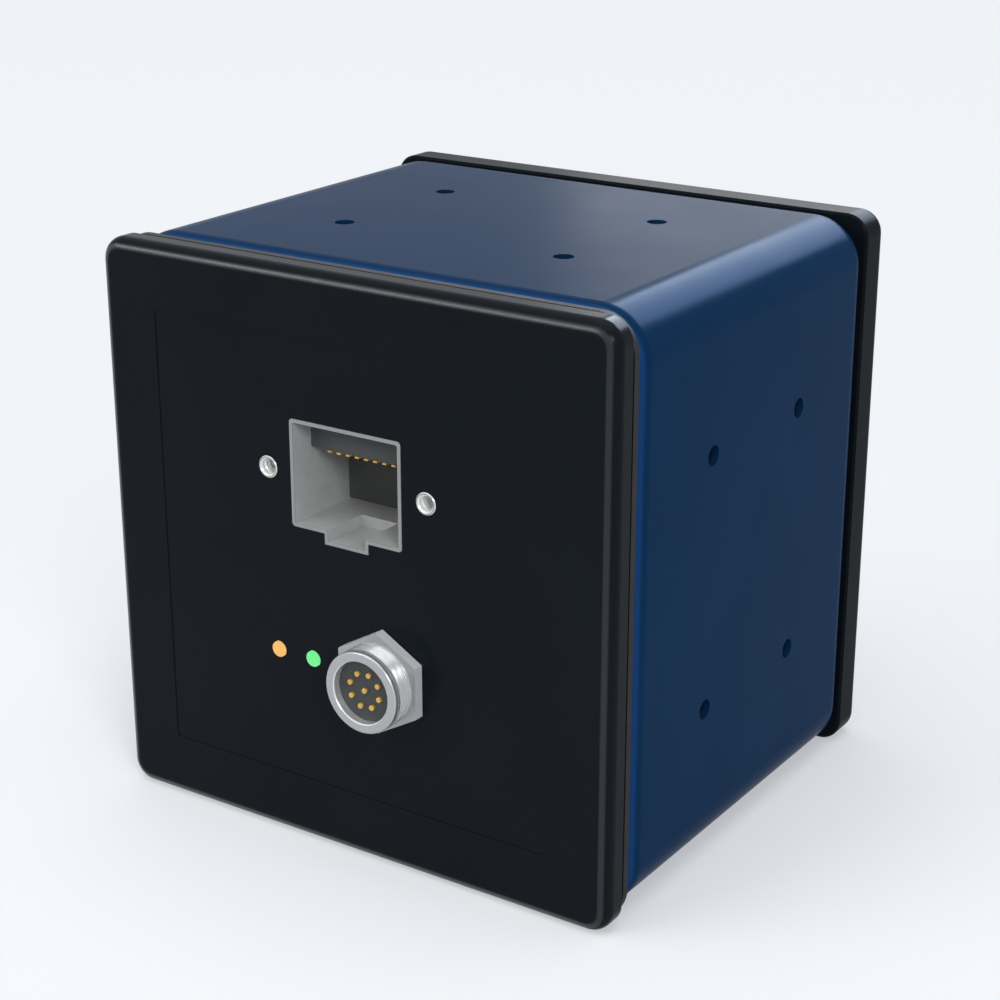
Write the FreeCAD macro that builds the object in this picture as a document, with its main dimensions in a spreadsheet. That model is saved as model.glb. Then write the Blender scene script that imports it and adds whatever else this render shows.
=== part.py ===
# Machine vision camera: a square camera with a black rear panel, a blue housing and a black
# front plate that carries the lens thread.
#
# Frame: +Z up, +Y towards the lens, -Y towards the connectors, +X to the right when looking
# at the rear panel. The origin is the centre of the screw pattern on the underside of the
# housing, so the underside lies in the plane Z = 0. All sizes are millimetres.

import FreeCAD, Part

import math
import os

import Sketcher

# ---------------------------------------------------------------- driving dimensions
SIZES = (
    ("body_wide", 73.0, "width of plates and housing"),
    ("body_tall", 73.0, "height of plates and housing"),
    ("housing_long", 56.3, "length of the blue housing"),
    ("housing_wall", 6.0, "wall of the housing"),
    ("housing_corner", 6.3, "radius of the housing's long edges"),
    ("housing_edge", 2.8, "rounding of the housing's end edges"),
    ("bore_corner", 9.0, "radius of the housing's inner corners"),
    ("rear_plate_thick", 3.7, "thickness of the rear plate"),
    ("front_plate_thick", 5.4, "thickness of the front plate"),
    ("plate_corner", 3.0, "corner radius of both plates"),
    ("plate_edge", 1.7, "rounding of the plates' outer rims"),
    ("plate_break", 0.3, "chamfer of the plates' inner rims"),
    ("seal_thick", 1.0, "thickness of the seal behind the rear plate"),
    ("seal_corner", 4.5, "corner radius of the seal"),
    ("label_wide", 56.0, "width of the shallow label field"),
    ("label_tall", 56.6, "height of the shallow label field"),
    ("label_up", 0.2, "label field above the plate's centre"),
    ("label_deep", 0.1, "depth of the label field"),
    ("label_corner", 0.4, "corner radius of the label field"),
    ("side_hole_across", 32.0, "spacing of the M3 holes across the housing"),
    ("side_hole_along", 21.6, "spacing of the M3 holes along the housing"),
    ("side_hole_radius", 1.25, "core radius of the M3 holes"),
    ("side_hole_deep", 4.6, "depth of the M3 holes"),
    ("tie_inset", 6.3, "tie screws from the outer faces"),
    ("tie_radius", 1.5, "shank radius of the tie screws"),
    ("tie_clear", 0.2, "clearance round the tie screws"),
    ("tie_bite", 2.7, "depth of the tie screws in the rear plate"),
    ("tie_head_radius", 2.75, "head radius of the tie screws"),
    ("tie_head_long", 3.0, "head length of the tie screws"),
    ("tie_head_sunk", 0.3, "heads below the front face"),
    ("tie_socket_flats", 2.5, "hexagon of the tie screws"),
    ("tie_socket_deep", 1.4, "depth of the hexagon"),
    ("lens_core_radius", 28.6, "core radius of the M58 x 0.75 lens thread"),
    ("lens_mouth", 0.5, "chamfer at the mouth of the lens thread"),
    ("flange_to_die", 11.48, "front face to the sensor's surface"),
    ("bore_clear", 0.3, "clearance of the inner frame in the housing"),
    ("frame_thick", 2.0, "thickness of the glass frame"),
    ("window_wide", 34.0, "width of the glass frame's window"),
    ("window_tall", 27.0, "height of the glass frame's window"),
    ("glass_lap", 1.2, "rim that the protective glass rests on"),
    ("glass_thick", 1.0, "thickness of the protective glass"),
    ("glass_clear", 0.1, "play round the protective glass"),
    ("carrier_margin", 3.5, "edge of the sensor carrier beyond the standoffs"),
    ("carrier_corner", 3.0, "corner radius of the sensor carrier"),
    ("package_wide", 42.0, "width of the sensor package"),
    ("package_tall", 35.0, "height of the sensor package"),
    ("package_thick", 2.6, "thickness of the sensor package"),
    ("package_clear", 0.3, "play of the package in the carrier"),
    ("cavity_lap", 3.0, "rim of the package round the die"),
    ("die_wide", 28.8, "width of the sensor die"),
    ("die_tall", 21.6, "height of the sensor die"),
    ("die_thick", 0.6, "thickness of the sensor die"),
    ("die_high", 1.5, "sensor's surface above its board"),
    ("cover_lap", 1.5, "sensor's cover glass from the package's edge"),
    ("cover_thick", 0.7, "thickness of the sensor's cover glass"),
    ("board_margin", 3.5, "edge of the boards beyond the standoffs"),
    ("board_corner", 2.0, "corner radius of the boards"),
    ("board_thick", 1.6, "thickness of the boards"),
    ("stack_half", 23.5, "standoffs from the centre lines"),
    ("stack_gap", 11.0, "sensor board to processor board"),
    ("stud_radius", 1.25, "radius of the standoffs' studs"),
    ("stud_bite", 3.4, "depth of the studs in the front plate"),
    ("stud_long", 5.0, "length of studs and screws in a standoff"),
    ("standoff_flats", 4.5, "hexagon of the standoffs"),
    ("board_screw_head", 2.3, "head radius of the board screws"),
    ("board_screw_high", 1.6, "head height of the board screws"),
    ("chip_wide", 23.0, "width of the processor"),
    ("chip_thick", 2.4, "thickness of the processor"),
    ("memory_wide", 8.0, "width of a memory chip"),
    ("memory_tall", 11.0, "height of a memory chip"),
    ("memory_thick", 1.1, "thickness of a memory chip"),
    ("memory_out", 18.0, "memory chips from the centre line"),
    ("memory_up", 7.0, "memory chips above and below the centre line"),
    ("link_wide", 24.0, "width of the board connectors"),
    ("link_tall", 5.0, "height of the board connectors"),
    ("link_inset", 1.5, "board connectors above the lower standoffs"),
    ("jack_right", 0.25, "centre of the jack, to the right"),
    ("jack_up", 11.78, "centre of the jack, above the plate's centre"),
    ("jack_wide", 16.15, "width of the jack's opening"),
    ("jack_tall", 13.46, "height of the jack's opening"),
    ("jack_corner", 0.5, "corner radius of the jack's opening"),
    ("jack_long", 15.5, "rear face to the interface board"),
    ("jack_clear", 0.04, "play of the shield in the plate"),
    ("jack_back", 0.05, "shield behind the rear face"),
    ("latch_wide", 6.45, "width of the latch notch"),
    ("latch_deep", 1.35, "depth of the latch notch"),
    ("latch_long", 7.0, "length of the latch channel, from the rear face"),
    ("shield_wall", 0.45, "sheet of the jack's shield"),
    ("shield_bend", 0.25, "inner radius of the shield's bends"),
    ("block_back", 3.5, "contact block behind the rear face"),
    ("block_tall", 3.86, "height of the contact block"),
    ("socket_deep", 10.6, "depth of the plug's space"),
    ("contact_pitch", 1.33, "spacing of the jack's contacts"),
    ("contact_wide", 0.55, "width of a contact"),
    ("contact_thick", 0.2, "thickness of a contact"),
    ("contact_drop", 1.6, "fall of a contact towards its root"),
    ("contact_nose", 0.25, "contact in front of its block"),
    ("bush_out", 11.49, "locking bushes from the jack's centre"),
    ("bush_radius", 1.38, "outer radius of a locking bush"),
    ("bush_core", 0.95, "bore radius of a locking bush"),
    ("bush_long", 6.0, "length of a locking bush"),
    ("led_left", 7.915, "middle of the two lights, to the left"),
    ("led_down", 11.62, "lights below the plate's centre"),
    ("led_pitch", 5.27, "spacing of the two lights"),
    ("led_radius", 1.0, "radius of a light pipe"),
    ("led_clear", 0.08, "play of a light pipe in the plate"),
    ("led_collar", 1.7, "collar radius of a light pipe"),
    ("led_collar_long", 1.0, "collar length of a light pipe"),
    ("led_chip_wide", 1.6, "width of a light's chip"),
    ("led_chip_thick", 0.8, "height of a light's chip"),
    ("plug_right", 5.34, "centre of the round connector, to the right"),
    ("plug_down", 11.63, "centre of the round connector, below centre"),
    ("plug_radius", 5.12, "radius of the connector's barrel"),
    ("plug_core", 4.85, "radius of the barrel inside the nut and the plate"),
    ("plug_clear", 0.1, "play of the barrel in the plate"),
    ("plug_out", 4.6, "barrel in front of the rear face"),
    ("plug_break", 0.2, "chamfer of the barrel's lip"),
    ("plug_lip", 1.1, "length of the barrel's plain lip"),
    ("plug_neck_deep", 0.3, "depth of the groove behind the lip"),
    ("plug_neck_long", 0.45, "length of the groove behind the lip"),
    ("flange_radius", 6.4, "radius of the connector's inner flange"),
    ("flange_thick", 1.2, "thickness of the connector's inner flange"),
    ("tail_radius", 4.7, "radius of the connector's tail"),
    ("tail_long", 2.6, "length of the connector's tail"),
    ("insert_radius", 3.9, "radius of the connector's insert"),
    ("insert_sunk", 1.1, "insert behind the barrel's lip"),
    ("key_wide", 1.1, "width of the connector's key"),
    ("key_deep", 0.5, "depth of the connector's key"),
    ("key_long", 3.0, "length of the connector's key"),
    ("pin_ring", 2.17, "radius of the ring of contacts"),
    ("pin_radius", 0.34, "radius of a contact"),
    ("pin_out", 0.4, "contacts in front of the insert's face"),
    ("pin_turn", 28.1, "turn of the ring of contacts, degrees"),
    ("nut_flats", 11.22, "width across the nut's flats"),
    ("nut_thick", 1.36, "thickness of the nut"),
)

JACK_CONTACTS = 8
RING_CONTACTS = 8

doc = FreeCAD.newDocument("machine_vision_camera")
sheet = doc.addObject("Spreadsheet::Sheet", "sizes")
for row, (alias, number, meaning) in enumerate(SIZES, start=1):
    sheet.set("A%d" % row, meaning)
    sheet.set("B%d" % row, str(number))
    sheet.setAlias("B%d" % row, alias)
doc.recompute()

# Levels along Y, and the centre height, as expressions of the sheet.
MIDDLE = "(sizes.body_tall / 2)"
HOUSING_REAR = "(-sizes.housing_long / 2)"
HOUSING_FRONT = "(sizes.housing_long / 2)"
PLATE_BACK = "(%s - sizes.seal_thick)" % HOUSING_REAR
REAR_FACE = "(%s - sizes.rear_plate_thick)" % PLATE_BACK
FRONT_FACE = "(%s + sizes.front_plate_thick)" % HOUSING_FRONT
FRAME_REAR = "(%s - sizes.frame_thick)" % HOUSING_FRONT
SENSOR_BOARD_FRONT = "(%s - sizes.flange_to_die - sizes.die_high)" % FRONT_FACE
SENSOR_BOARD_REAR = "(%s - sizes.board_thick)" % SENSOR_BOARD_FRONT
PROCESSOR_FRONT = "(%s - sizes.stack_gap)" % SENSOR_BOARD_REAR
PROCESSOR_REAR = "(%s - sizes.board_thick)" % PROCESSOR_FRONT
INTERFACE_REAR = "(%s + sizes.jack_long)" % REAR_FACE
INTERFACE_FRONT = "(%s + sizes.board_thick)" % INTERFACE_REAR
INNER_WIDE = "(sizes.body_wide - 2 * sizes.housing_wall)"
INNER_TALL = "(sizes.body_tall - 2 * sizes.housing_wall)"
CARRIER_WIDE = "(2 * (sizes.stack_half + sizes.carrier_margin))"
BOARD_WIDE = "(2 * (sizes.stack_half + sizes.board_margin))"
TIE_X = "(sizes.body_wide / 2 - sizes.tie_inset)"
TIE_Z = "(sizes.body_tall / 2 - sizes.tie_inset)"
JACK_Z = "(%s + sizes.jack_up)" % MIDDLE
PLUG_Z = "(%s - sizes.plug_down)" % MIDDLE
LED_Z = "(%s - sizes.led_down)" % MIDDLE

NODES = []


# ---------------------------------------------------------------- helpers
def value(expression):
    """Number that an expression of the sheet has now."""
    return float(sheet.evalExpression(expression))


def piece(name):
    """An empty body, listed as a node of its own."""
    body = doc.addObject("PartDesign::Body", name)
    body.Label = name
    body.AllowCompound = True
    NODES.append(body)
    return body


def sketch_on(body, role, lift, up="0"):
    """A sketch on an origin plane of the body, lifted along the plane's normal."""
    sketch = body.newObject("Sketcher::SketchObject", body.Name + "_sketch")
    plane = [item for item in body.Origin.OriginFeatures if item.Role == role][0]
    sketch.AttachmentSupport = [(plane, "")]
    sketch.MapMode = "FlatFace"
    sketch.setExpression("AttachmentOffset.Base.z", lift)
    sketch.setExpression("AttachmentOffset.Base.y", up)
    return sketch


def section(body, level):
    """A sketch across the camera at a Y level: its axes are X and Z."""
    return sketch_on(body, "XZ_Plane", "-(%s)" % level)


def locate(sketch, geometry, point, across, up):
    """Hold one point of a sketch at two expressions."""
    for kind, expression in (("DistanceX", across), ("DistanceY", up)):
        constraint = Sketcher.Constraint(kind, -1, 1, geometry, point, value(expression))
        index = sketch.addConstraint(constraint)
        sketch.setExpression("Constraints[%d]" % index, expression)


def circle(sketch, across, up, radius):
    """A circle given by its centre and radius."""
    centre = FreeCAD.Vector(value(across), value(up), 0)
    shape = Part.Circle(centre, FreeCAD.Vector(0, 0, 1), value(radius))
    geometry = sketch.addGeometry(shape, False)
    locate(sketch, geometry, 3, across, up)
    index = sketch.addConstraint(Sketcher.Constraint("Radius", geometry, value(radius)))
    sketch.setExpression("Constraints[%d]" % index, radius)


def polygon(sketch, points):
    """A closed outline through points that are pairs of expressions."""
    first = sketch.GeometryCount
    places = [FreeCAD.Vector(value(across), value(up), 0) for across, up in points]
    count = len(points)
    for index, place in enumerate(places):
        sketch.addGeometry(Part.LineSegment(place, places[(index + 1) % count]), False)
    for index in range(count):
        after = first + (index + 1) % count
        sketch.addConstraint(Sketcher.Constraint("Coincident", first + index, 2, after, 1))
    for index, (across, up) in enumerate(points):
        locate(sketch, first + index, 1, across, up)


def rectangle(sketch, across, up, wide, tall):
    """A rectangle given by its centre, width and height."""
    left, right = "%s - %s / 2" % (across, wide), "%s + %s / 2" % (across, wide)
    low, high = "%s - %s / 2" % (up, tall), "%s + %s / 2" % (up, tall)
    polygon(sketch, [(left, low), (right, low), (right, high), (left, high)])


def hexagon(sketch, across, up, flats):
    """A hexagon given by its centre and width across flats, with corners above and below."""
    points = []
    for corner in range(6):
        angle = 30 + 60 * corner
        reach = "%s / 2 / cos(30 deg)" % flats
        points.append((
            "%s + %s * cos(%d deg)" % (across, reach, angle),
            "%s + %s * sin(%d deg)" % (up, reach, angle),
        ))
    polygon(sketch, points)


def pad(body, sketch, length):
    """Solid from the sketch, towards +Y for a section."""
    feature = body.newObject("PartDesign::Pad", body.Name + "_pad")
    feature.Profile = sketch
    feature.setExpression("Length", length)
    feature.Reversed = sketch.AttachmentSupport[0][0].Role == "XZ_Plane"
    sketch.Visibility = False
    doc.recompute()
    return feature


def pocket(body, sketch, length=None):
    """Cut from the sketch, towards +Y for a section, through everything without a length."""
    before = body.Shape.Volume
    feature = body.newObject("PartDesign::Pocket", body.Name + "_pocket")
    feature.Profile = sketch
    if length is None:
        feature.Type = "ThroughAll"
    else:
        feature.setExpression("Length", length)
    sketch.Visibility = False
    doc.recompute()
    if feature.Shape.Volume >= before:
        raise RuntimeError("%s cuts nothing" % feature.Label)
    return feature


def turned(body, kind, across, height, points):
    """Revolution or groove about an axis along Y; the points are pairs of Y and radius."""
    sketch = sketch_on(body, "YZ_Plane", across, height)
    polygon(sketch, points)
    feature = body.newObject("PartDesign::" + kind, body.Name + "_" + kind.lower())
    feature.Profile = sketch
    feature.ReferenceAxis = (sketch, ["H_Axis"])
    feature.Angle = 360
    sketch.Visibility = False
    doc.recompute()
    return feature


def round_edges(body, feature, radius, keep, kind="Fillet"):
    """Fillet or chamfer on the edges that the test keeps."""
    names = ["Edge%d" % (index + 1) for index, edge in enumerate(feature.Shape.Edges) if keep(edge)]
    if not names:
        raise RuntimeError("%s has no such edges" % feature.Label)
    result = body.newObject("PartDesign::" + kind, body.Name + "_" + kind.lower())
    result.Base = (feature, names)
    result.setExpression("Radius" if kind == "Fillet" else "Size", radius)
    doc.recompute()
    return result


def along(edge):
    """True for a straight edge along Y."""
    box = edge.BoundBox
    return box.XLength < 1e-6 and box.ZLength < 1e-6


def at_level(level):
    """Test for an edge that lies in the plane of a Y level."""
    place = value(level)

    def keep(edge):
        box = edge.BoundBox
        return abs(box.YMin - place) < 1e-6 and abs(box.YMax - place) < 1e-6

    return keep


def along_at(half_wide, half_tall, centre_x="0", centre_z=MIDDLE):
    """Test for an edge along Y at a corner of a rectangle."""
    wide, tall = value(half_wide), value(half_tall)
    middle_x, middle_z = value(centre_x), value(centre_z)

    def keep(edge):
        box = edge.BoundBox
        off_x = abs(abs(box.XMin - middle_x) - wide)
        off_z = abs(abs(box.ZMin - middle_z) - tall)
        return along(edge) and off_x < 1e-6 and off_z < 1e-6

    return keep


def four_corners(half_x, half_z, middle=MIDDLE):
    """The four places at plus and minus two distances from the centre lines."""
    places = []
    for side in ("-", ""):
        for row in ("-", "+"):
            places.append(("%s%s" % (side, half_x), "%s %s %s" % (middle, row, half_z)))
    return places


def block(name, rear, thick, wide, tall, corner=None, centre_x="0", centre_z=MIDDLE):
    """A rectangular plate across the camera, from its rear level towards the lens."""
    body = piece(name)
    sketch = section(body, rear)
    rectangle(sketch, centre_x, centre_z, wide, tall)
    feature = pad(body, sketch, thick)
    if corner is not None:
        round_edges(body, feature, corner, along)
    return body


def outer_plate(name, rear, thick, corner):
    """A plate of the full section of the camera, with rounded corners."""
    return block(name, rear, thick, "sizes.body_wide", "sizes.body_tall", corner)


def latch_box(sketch, low, half):
    """The latch's rectangle, from a low level up to the middle of the jack."""
    left, right = "sizes.jack_right - (%s)" % half, "sizes.jack_right + (%s)" % half
    polygon(sketch, [(left, low), (right, low), (right, JACK_Z), (left, JACK_Z)])


# ---------------------------------------------------------------- rear plate
rear_plate = outer_plate("rear_plate", REAR_FACE, "sizes.rear_plate_thick", "sizes.plate_corner")
rim = round_edges(rear_plate, rear_plate.Tip, "sizes.plate_edge", at_level(REAR_FACE))
round_edges(rear_plate, rim, "sizes.plate_break", at_level(PLATE_BACK), "Chamfer")

label = section(rear_plate, "(%s + sizes.label_deep)" % REAR_FACE)
LABEL_Z = "(%s + sizes.label_up)" % MIDDLE
rectangle(label, "0", LABEL_Z, "sizes.label_wide", "sizes.label_tall")
field = rear_plate.newObject("PartDesign::Pocket", "label_field")
field.Profile = label
field.Reversed = True
field.setExpression("Length", "sizes.label_deep")
doc.recompute()
round_edges(
    rear_plate, field, "sizes.label_corner",
    along_at("sizes.label_wide / 2", "sizes.label_tall / 2", "0", LABEL_Z),
)

opening = section(rear_plate, REAR_FACE)
rectangle(opening, "sizes.jack_right", JACK_Z, "sizes.jack_wide", "sizes.jack_tall")
opened = pocket(rear_plate, opening)
round_edges(
    rear_plate, opened, "sizes.jack_corner",
    along_at("sizes.jack_wide / 2", "sizes.jack_tall / 2", "sizes.jack_right", JACK_Z),
)
notch = section(rear_plate, REAR_FACE)
latch_box(notch, "%s - sizes.jack_tall / 2 - sizes.latch_deep" % JACK_Z, "sizes.latch_wide / 2")
pocket(rear_plate, notch)

holes = section(rear_plate, REAR_FACE)
for side in ("-", "+"):
    circle(holes, "sizes.jack_right %s sizes.bush_out" % side, JACK_Z, "sizes.bush_radius")
    circle(
        holes, "-sizes.led_left %s sizes.led_pitch / 2" % side, LED_Z,
        "sizes.led_radius + sizes.led_clear",
    )
circle(holes, "sizes.plug_right", PLUG_Z, "sizes.plug_core + sizes.plug_clear")
pocket(rear_plate, holes)

tapped = section(rear_plate, "(%s - sizes.tie_bite)" % PLATE_BACK)
for across, up in four_corners(TIE_X, TIE_Z):
    circle(tapped, across, up, "sizes.tie_radius")
pocket(rear_plate, tapped, "sizes.tie_bite")

# ---------------------------------------------------------------- seal and housing
rear_seal = outer_plate("rear_seal", PLATE_BACK, "sizes.seal_thick", "sizes.seal_corner")
housing = outer_plate("housing", HOUSING_REAR, "sizes.housing_long", "sizes.housing_corner")
ends = round_edges(housing, housing.Tip, "sizes.housing_edge", at_level(HOUSING_REAR))
round_edges(housing, ends, "sizes.housing_edge", at_level(HOUSING_FRONT))

for body, rear in ((rear_seal, PLATE_BACK), (housing, HOUSING_REAR)):
    bore = section(body, rear)
    rectangle(bore, "0", MIDDLE, INNER_WIDE, INNER_TALL)
    bored = pocket(body, bore)
    corners = along_at("%s / 2" % INNER_WIDE, "%s / 2" % INNER_TALL)
    round_edges(body, bored, "sizes.bore_corner", corners)
    ties = section(body, rear)
    for across, up in four_corners(TIE_X, TIE_Z):
        circle(ties, across, up, "sizes.tie_radius + sizes.tie_clear")
    pocket(body, ties)

# The same four threaded holes are in every side of the housing, as blind holes.
SIDE_FACES = (
    ("XY_Plane", "sizes.side_hole_deep"),
    ("XY_Plane", "sizes.body_tall"),
    ("YZ_Plane", "sizes.side_hole_deep - sizes.body_wide / 2"),
    ("YZ_Plane", "sizes.body_wide / 2"),
)
for role, lift in SIDE_FACES:
    sketch = sketch_on(housing, role, lift)
    for step in ("-", ""):
        for row in ("-", "+"):
            lengthwise = "%ssizes.side_hole_along / 2" % step
            if role == "XY_Plane":
                across, up = "0 %s sizes.side_hole_across / 2" % row, lengthwise
            else:
                across, up = lengthwise, "%s %s sizes.side_hole_across / 2" % (MIDDLE, row)
            circle(sketch, across, up, "sizes.side_hole_radius")
    pocket(housing, sketch, "sizes.side_hole_deep")

# ---------------------------------------------------------------- front plate with the lens thread
front_plate = outer_plate("front_plate", HOUSING_FRONT, "sizes.front_plate_thick", "sizes.plate_corner")
rim = round_edges(front_plate, front_plate.Tip, "sizes.plate_edge", at_level(FRONT_FACE))
round_edges(front_plate, rim, "sizes.plate_break", at_level(HOUSING_FRONT), "Chamfer")
throat = section(front_plate, HOUSING_FRONT)
circle(throat, "0", MIDDLE, "sizes.lens_core_radius")
bored = pocket(front_plate, throat)


def at_lens_mouth(edge):
    """True for the circle where the lens thread starts."""
    round_one = isinstance(edge.Curve, Part.Circle) and edge.Closed
    return round_one and at_level(FRONT_FACE)(edge)


round_edges(front_plate, bored, "sizes.lens_mouth", at_lens_mouth, "Chamfer")
shanks = section(front_plate, HOUSING_FRONT)
HEAD_SEAT = "(%s - sizes.tie_head_sunk - sizes.tie_head_long)" % FRONT_FACE
seats = section(front_plate, HEAD_SEAT)
for across, up in four_corners(TIE_X, TIE_Z):
    circle(shanks, across, up, "sizes.tie_radius + sizes.tie_clear")
    circle(seats, across, up, "sizes.tie_head_radius + sizes.tie_clear")
pocket(front_plate, shanks)
pocket(front_plate, seats)
studs = section(front_plate, HOUSING_FRONT)
for across, up in four_corners("sizes.stack_half", "sizes.stack_half"):
    circle(studs, across, up, "sizes.stud_radius")
pocket(front_plate, studs, "sizes.stud_bite")

# Four long screws pull front plate, housing and rear plate together.
tie_screws = piece("tie_screws")
shanks = section(tie_screws, "(%s - sizes.tie_bite)" % PLATE_BACK)
heads = section(tie_screws, HEAD_SEAT)
sockets = section(tie_screws, "(%s + sizes.tie_head_long - sizes.tie_socket_deep)" % HEAD_SEAT)
for across, up in four_corners(TIE_X, TIE_Z):
    circle(shanks, across, up, "sizes.tie_radius")
    circle(heads, across, up, "sizes.tie_head_radius")
    hexagon(sockets, across, up, "sizes.tie_socket_flats")
pad(tie_screws, shanks, "%s - %s + sizes.tie_bite" % (HEAD_SEAT, PLATE_BACK))
pad(tie_screws, heads, "sizes.tie_head_long")
pocket(tie_screws, sockets)

# ---------------------------------------------------------------- glass frame and sensor
glass_frame = block(
    "glass_frame", FRAME_REAR, "sizes.frame_thick",
    "(%s - 2 * sizes.bore_clear)" % INNER_WIDE, "(%s - 2 * sizes.bore_clear)" % INNER_TALL,
    "sizes.bore_corner",
)
window = section(glass_frame, FRAME_REAR)
rectangle(window, "0", MIDDLE, "sizes.window_wide", "sizes.window_tall")
pocket(glass_frame, window)
GLASS_REAR = "(%s - sizes.glass_thick)" % HOUSING_FRONT
rebate = section(glass_frame, GLASS_REAR)
rectangle(
    rebate, "0", MIDDLE,
    "(sizes.window_wide + 2 * sizes.glass_lap)", "(sizes.window_tall + 2 * sizes.glass_lap)",
)
pocket(glass_frame, rebate)
studs = section(glass_frame, FRAME_REAR)
for across, up in four_corners("sizes.stack_half", "sizes.stack_half"):
    circle(studs, across, up, "sizes.stud_radius")
pocket(glass_frame, studs)

GLASS_EXTRA = "2 * (sizes.glass_lap - sizes.glass_clear)"
block(
    "protective_glass", GLASS_REAR, "sizes.glass_thick",
    "(sizes.window_wide + %s)" % GLASS_EXTRA, "(sizes.window_tall + %s)" % GLASS_EXTRA,
)

sensor_carrier = block(
    "sensor_carrier", SENSOR_BOARD_FRONT, "%s - %s" % (FRAME_REAR, SENSOR_BOARD_FRONT),
    CARRIER_WIDE, CARRIER_WIDE, "sizes.carrier_corner",
)
window = section(sensor_carrier, SENSOR_BOARD_FRONT)
rectangle(
    window, "0", MIDDLE,
    "(sizes.package_wide + 2 * sizes.package_clear)", "(sizes.package_tall + 2 * sizes.package_clear)",
)
for across, up in four_corners("sizes.stack_half", "sizes.stack_half"):
    circle(window, across, up, "sizes.stud_radius")
pocket(sensor_carrier, window)

sensor_package = block(
    "sensor_package", SENSOR_BOARD_FRONT, "sizes.package_thick",
    "sizes.package_wide", "sizes.package_tall",
)
DIE_REAR = "(%s + sizes.die_high - sizes.die_thick)" % SENSOR_BOARD_FRONT
cavity = section(sensor_package, DIE_REAR)
rectangle(
    cavity, "0", MIDDLE,
    "(sizes.die_wide + 2 * sizes.cavity_lap)", "(sizes.die_tall + 2 * sizes.cavity_lap)",
)
pocket(sensor_package, cavity)
block("sensor_die", DIE_REAR, "sizes.die_thick", "sizes.die_wide", "sizes.die_tall")
block(
    "sensor_cover_glass", "(%s + sizes.package_thick)" % SENSOR_BOARD_FRONT, "sizes.cover_thick",
    "(sizes.package_wide - 2 * sizes.cover_lap)", "(sizes.package_tall - 2 * sizes.cover_lap)",
)

# ---------------------------------------------------------------- boards and what stands on them
for name, rear in (
    ("sensor_board", SENSOR_BOARD_REAR),
    ("processor_board", PROCESSOR_REAR),
    ("interface_board", INTERFACE_REAR),
):
    board = block(
        name, rear, "sizes.board_thick", BOARD_WIDE, BOARD_WIDE, "sizes.board_corner"
    )
    studs = section(board, rear)
    for across, up in four_corners("sizes.stack_half", "sizes.stack_half"):
        circle(studs, across, up, "sizes.stud_radius")
    pocket(board, studs)


def standoffs(name, rear, front, stud, deep):
    """Four hexagonal standoffs with a stud in front and a threaded hole behind."""
    body = piece(name)
    bodies = section(body, rear)
    tips = section(body, front)
    holes = section(body, rear)
    for across, up in four_corners("sizes.stack_half", "sizes.stack_half"):
        hexagon(bodies, across, up, "sizes.standoff_flats")
        circle(tips, across, up, "sizes.stud_radius")
        circle(holes, across, up, "sizes.stud_radius")
    pad(body, bodies, "%s - %s" % (front, rear))
    pad(body, tips, stud)
    pocket(body, holes, deep)


standoffs(
    "front_standoffs", PROCESSOR_FRONT, SENSOR_BOARD_REAR,
    "%s + sizes.stud_bite - %s" % (HOUSING_FRONT, SENSOR_BOARD_REAR), "sizes.stud_long",
)
standoffs(
    "rear_standoffs", INTERFACE_FRONT, PROCESSOR_REAR,
    "sizes.board_thick + sizes.stud_long", "sizes.stud_long",
)

board_screws = piece("board_screws")
heads = section(board_screws, "(%s - sizes.board_screw_high)" % INTERFACE_REAR)
shanks = section(board_screws, INTERFACE_REAR)
for across, up in four_corners("sizes.stack_half", "sizes.stack_half"):
    circle(heads, across, up, "sizes.board_screw_head")
    circle(shanks, across, up, "sizes.stud_radius")
pad(board_screws, heads, "sizes.board_screw_high")
pad(board_screws, shanks, "sizes.board_thick + sizes.stud_long")

block(
    "processor_chip", "(%s - sizes.chip_thick)" % PROCESSOR_REAR, "sizes.chip_thick",
    "sizes.chip_wide", "sizes.chip_wide",
)
memory_chips = piece("memory_chips")
outlines = section(memory_chips, "(%s - sizes.memory_thick)" % PROCESSOR_REAR)
for across, up in four_corners("sizes.memory_out", "sizes.memory_up"):
    rectangle(outlines, across, "(%s)" % up, "sizes.memory_wide", "sizes.memory_tall")
pad(memory_chips, outlines, "sizes.memory_thick")

LINK_Z = "(%s - sizes.stack_half + sizes.link_inset)" % MIDDLE
for name, rear, front in (
    ("front_board_link", PROCESSOR_FRONT, SENSOR_BOARD_REAR),
    ("rear_board_link", INTERFACE_FRONT, PROCESSOR_REAR),
):
    block(
        name, rear, "%s - %s" % (front, rear), "sizes.link_wide", "sizes.link_tall", centre_z=LINK_Z
    )

# ---------------------------------------------------------------- network jack
SHIELD_WIDE = "(sizes.jack_wide - 2 * sizes.jack_clear)"
SHIELD_TALL = "(sizes.jack_tall - 2 * sizes.jack_clear)"
ROOM_WIDE = "(%s - 2 * sizes.shield_wall)" % SHIELD_WIDE
ROOM_TALL = "(%s - 2 * sizes.shield_wall)" % SHIELD_TALL
SHIELD_REAR = "(%s + sizes.jack_back)" % REAR_FACE
CEILING = "(%s + %s / 2)" % (JACK_Z, ROOM_TALL)
FLOOR = "(%s - %s / 2)" % (JACK_Z, ROOM_TALL)
BLOCK_FACE = "(%s + sizes.block_back)" % REAR_FACE
BLOCK_LOW = "(%s - sizes.block_tall)" % CEILING
SOCKET_END = "(%s + sizes.socket_deep)" % REAR_FACE

jack_shield = block(
    "jack_shield", SHIELD_REAR, "sizes.jack_long - sizes.jack_back", SHIELD_WIDE, SHIELD_TALL,
    "sizes.jack_corner - sizes.jack_clear", "sizes.jack_right", JACK_Z,
)
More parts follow.
